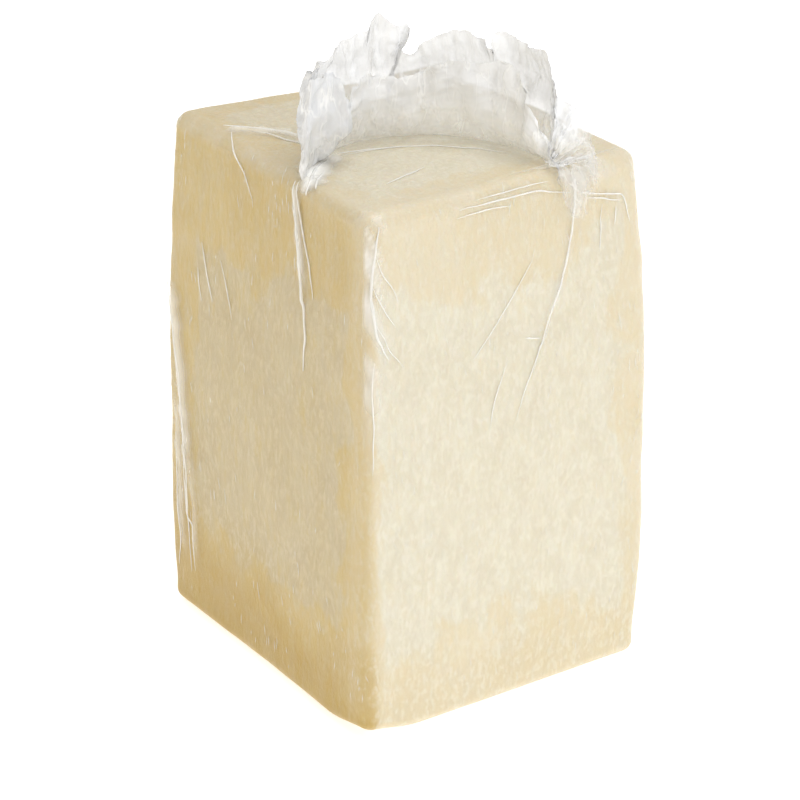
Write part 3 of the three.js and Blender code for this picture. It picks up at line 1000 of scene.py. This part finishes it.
def on_film(line):
    """A smooth line through given points, pulled on to the film."""
    line = np.array(line, float) * mm
    length = np.concatenate([[0], np.cumsum(np.linalg.norm(np.diff(line, axis=0), axis=1))])
    at = np.linspace(0, length[-1], max(5, round(length[-1] / STRAND_STEP)))
    route = np.stack([np.interp(at, length, column) for column in line.T], axis=-1)
    route += 1.6 * mm * (noise(route[:, None] + np.array([0.0, 0.3, 0.7]), 8 * mm, 61) - 0.5)
    for _ in range(3):
        route[1:-1] = 0.5 * route[1:-1] + 0.25 * (route[:-2] + route[2:])
    plain = unslump(route)
    core = plain_half - EDGE_RADIUS
    nearest = np.clip(plain, -core, core)
    away = plain - nearest
    away /= np.linalg.norm(away, axis=1, keepdims=True)
    lift = 0
    for width, rise, _, fold in FOLDS:
        distance, _ = to_line(nearest + away * EDGE_RADIUS, fold)
        lift = lift + rise * mm * smooth(distance, width * mm, 0)
    return slump(nearest + away * (EDGE_RADIUS + FILM_GAP + lift)[:, None])


def strand_paths():
    """All the strands' routes as one mesh of loose edges, with how thick each is along the way."""
    points, edges, thickness = [], [], []
    for thick, line in STRANDS:
        route = on_film(line)
        first = sum(map(len, points))
        points.append(route)
        edges.extend((first + k, first + k + 1) for k in range(len(route) - 1))
        taper = np.sin(np.pi * np.linspace(0.03, 0.97, len(route))) ** 0.6
        thickness.append(thick * mm * taper * (0.7 + 0.6 * noise(route, 4 * mm, 62)))
    mesh = bpy.data.meshes.new("strand_paths")
    mesh.from_pydata(np.concatenate(points).tolist(), edges, [])
    host = bpy.data.objects.new("strand_paths", mesh)
    scene.collection.objects.link(host)
    paint(host, "thickness", np.concatenate(thickness))
    return host


creased_film = film_material("creased_film", 0.6, 0.0)
strand_tree = Tree("film_strands", Sides=6)
curve = strand_tree.add("GeometryNodeMeshToCurve", {"Mesh": strand_tree.inputs["Geometry"]})
round_section = {"Resolution": strand_tree.inputs["Sides"], "Radius": 1.0}
section = strand_tree.add("GeometryNodeCurvePrimitiveCircle", round_section)
thickness = strand_tree.attribute("thickness")
swept = {"Curve": curve, "Profile Curve": section, "Scale": thickness, "Fill Caps": True}
strand_tree.finish(strand_tree.add("GeometryNodeCurveToMesh", swept), creased_film)
path_host = strand_paths()
strands = strand_tree.grow(path_host, "film_strands")
bpy.data.objects.remove(path_host)

# %% Short pleats
PLEATS_PER_AREA = 14000.0  # in a square metre of film


def pleat_density():
    """Where short pleats are: on the walls, most of all near the upright edges and the top."""
    inside = (plain_half - np.abs(plain_rings)) / (30 * mm, 30 * mm, 60 * mm)
    near_edge = smooth(np.sort(inside, axis=-1)[..., 1], 1, 0)
    clusters = smooth(noise(plain_rings, 22 * mm, 81), 0.35, 0.7)
    above_foot = smooth(plain_rings[..., 2], -height / 2 + 8 * mm, -height / 2 + 20 * mm)
    return (0.35 + 0.65 * near_edge) * clusters * above_foot * (1 - neck_share) * (1 - on_top)


def pull_direction():
    """Which way the film was drawn: up and down, and slanting down from the front left edge."""
    slant = 1.1 * (noise(plain_rings, 35 * mm, 83) - 0.5)
    at_front = plain_rings[..., 1] < -half_y + 2 * mm
    fan = smooth(plain_rings[..., 0], -half_x + 34 * mm, -half_x + 4 * mm) * at_front
    sideways = slant * (1 - fan) - 0.62 * fan
    along_wall = np.where(at_front | (plain_rings[..., 1] > half_y - 2 * mm), 1.0, 0.0)
    return np.stack([sideways * along_wall, sideways * (1 - along_wall), np.ones_like(slant)], axis=-1)


paint(bag, "pleat_density", pleat_density().reshape(-1))
pull = bag.data.attributes.new("pull", "FLOAT_VECTOR", "POINT")
pull.data.foreach_set("vector", pull_direction().reshape(-1).astype(np.float32))

pleat_tree = Tree("film_pleats", Density=PLEATS_PER_AREA, Length=2.4 * mm, Thickness=0.14 * mm, Seed=4)
sizes_in = pleat_tree.inputs
wanted = pleat_tree.add("ShaderNodeMath", {0: pleat_tree.attribute("pleat_density"), 1: sizes_in["Density"]},
                        operation="MULTIPLY")
scatter = {"Mesh": sizes_in["Geometry"], "Density": wanted, "Seed": sizes_in["Seed"]}
points = pleat_tree.add("GeometryNodeDistributePointsOnFaces", scatter)
spindle = pleat_tree.add("GeometryNodeMeshUVSphere", {"Segments": 4, "Rings": 4, "Radius": 1.0})
along = {0: points.node.outputs["Normal"], 1: pleat_tree.attribute("pull", "FLOAT_VECTOR")}
turned = pleat_tree.add("FunctionNodeAxesToRotation", along, primary_axis="Z", secondary_axis="X")
longer = pleat_tree.add("FunctionNodeRandomValue", {"Min": 0.4, "Max": 1.6, "Seed": sizes_in["Seed"]}, out=1)
length = pleat_tree.add("ShaderNodeMath", {0: longer, 1: sizes_in["Length"]}, operation="MULTIPLY")
shape = {"X": length, "Y": sizes_in["Thickness"], "Z": sizes_in["Thickness"]}
scale = pleat_tree.add("ShaderNodeCombineXYZ", shape)
placed = {"Points": points, "Instance": spindle, "Rotation": turned, "Scale": scale}
pleat_tree.finish(pleat_tree.add("GeometryNodeInstanceOnPoints", placed), creased_film)
pleat_piece = pleat_tree.grow(bag, "film_pleats")

# %% [markdown]
# ## Floor, light and camera
#
# The block stands on a plain white table that is lit a little from below, as a tabletop studio
# has, so that it stays white close round the block. The sky is soft, brighter and whiter in
# front and to the right, and dimmer and warmer on the left, which leaves that face in a soft
# yellow shade.

# %% Floor
FLOOR_REACH = 6.0
floor_corners = [(-FLOOR_REACH, -FLOOR_REACH, 0), (FLOOR_REACH, -FLOOR_REACH, 0),
                 (FLOOR_REACH, FLOOR_REACH, 0), (-FLOOR_REACH, FLOOR_REACH, 0)]
floor = make_piece("floor", floor_corners, [(0, 1, 2, 3)], smooth_faces=False)
floor_look = Recipe("white_table")
floor_look.set(base_color=(0.90, 0.90, 0.90, 1), roughness=0.9, specular_ior_level=0.0)
floor_look.set(emission_color=(1, 1, 1, 1), emission_strength=0.66)
floor.data.materials.append(floor_look.material)


# %% Lights
def looking(back):
    """The turn of a light or camera that looks opposite to back."""
    return (-Vector(back)).to_track_quat("-Z", "Y").to_euler()


def from_angles(azimuth, elevation):
    """The direction to something at an azimuth from the front and an elevation, in degrees."""
    a, e = math.radians(azimuth), math.radians(elevation)
    return Vector((math.sin(a) * math.cos(e), -math.cos(a) * math.cos(e), math.sin(e)))


def soft_light(name, azimuth, elevation, distance, size, watts):
    """A square soft light that faces the middle of the block."""
    light = bpy.data.lights.new(name, "AREA")
    light.size, light.energy = size, watts
    holder = bpy.data.objects.new(name, light)
    scene.collection.objects.link(holder)
    back = from_angles(azimuth, elevation)
    holder.location = back * distance + Vector((0, 0, middle_z))
    holder.rotation_euler = looking(back)


soft_light("key_light", 30, 72, 2.2, 1.4, 22)

# %% Sky
SKY_LEFT = (0.70, 0.64, 0.52, 1)
SKY_RIGHT = (0.72, 0.72, 0.72, 1)
SKY_TURNS_FROM, SKY_TURNS_TO = -0.75, 0.1  # where it turns from one to the other, -1 being full left

world = bpy.data.worlds.new("studio")
world.use_nodes = True
sky = world.node_tree
where = sky.nodes.new("ShaderNodeTexCoord")
split = sky.nodes.new("ShaderNodeSeparateXYZ")
span = sky.nodes.new("ShaderNodeMapRange")
blend = sky.nodes.new("ShaderNodeMix")
blend.data_type = "RGBA"
span.interpolation_type = "SMOOTHSTEP"
span.inputs["From Min"].default_value = SKY_TURNS_FROM
span.inputs["From Max"].default_value = SKY_TURNS_TO
blend.inputs[6].default_value = SKY_LEFT
blend.inputs[7].default_value = SKY_RIGHT
sky.links.new(where.outputs["Generated"], split.inputs[0])
sky.links.new(split.outputs["X"], span.inputs["Value"])
sky.links.new(span.outputs[0], blend.inputs[0])
sky.links.new(blend.outputs[2], sky.nodes["Background"].inputs["Color"])
scene.world = world

# %% Camera
CAMERA_AZIMUTH, CAMERA_ELEVATION = -33.97, 25.38
CAMERA_DISTANCE, CAMERA_LENS = 1.701, 148.5
AIM = Vector((-1.45, 0.98, 131.6)) * mm

camera_back = from_angles(CAMERA_AZIMUTH, CAMERA_ELEVATION)
camera = bpy.data.objects.new("camera", bpy.data.cameras.new("camera"))
scene.collection.objects.link(camera)
camera.data.lens = CAMERA_LENS
camera.data.sensor_width = 36
camera.location = camera_back * CAMERA_DISTANCE + AIM
camera.rotation_euler = looking(camera_back)
camera.data.clip_start, camera.data.clip_end = 0.05, 50
scene.camera = camera
scene.view_settings.view_transform = "Standard"
scene.cycles.transparent_max_bounces = 24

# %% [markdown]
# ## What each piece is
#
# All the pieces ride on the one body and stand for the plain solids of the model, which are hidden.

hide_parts("cheese_block")
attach(cheese, "root")
for piece in (bag, strands, pleat_piece):
    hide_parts("film_bag")
    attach(piece, "root")
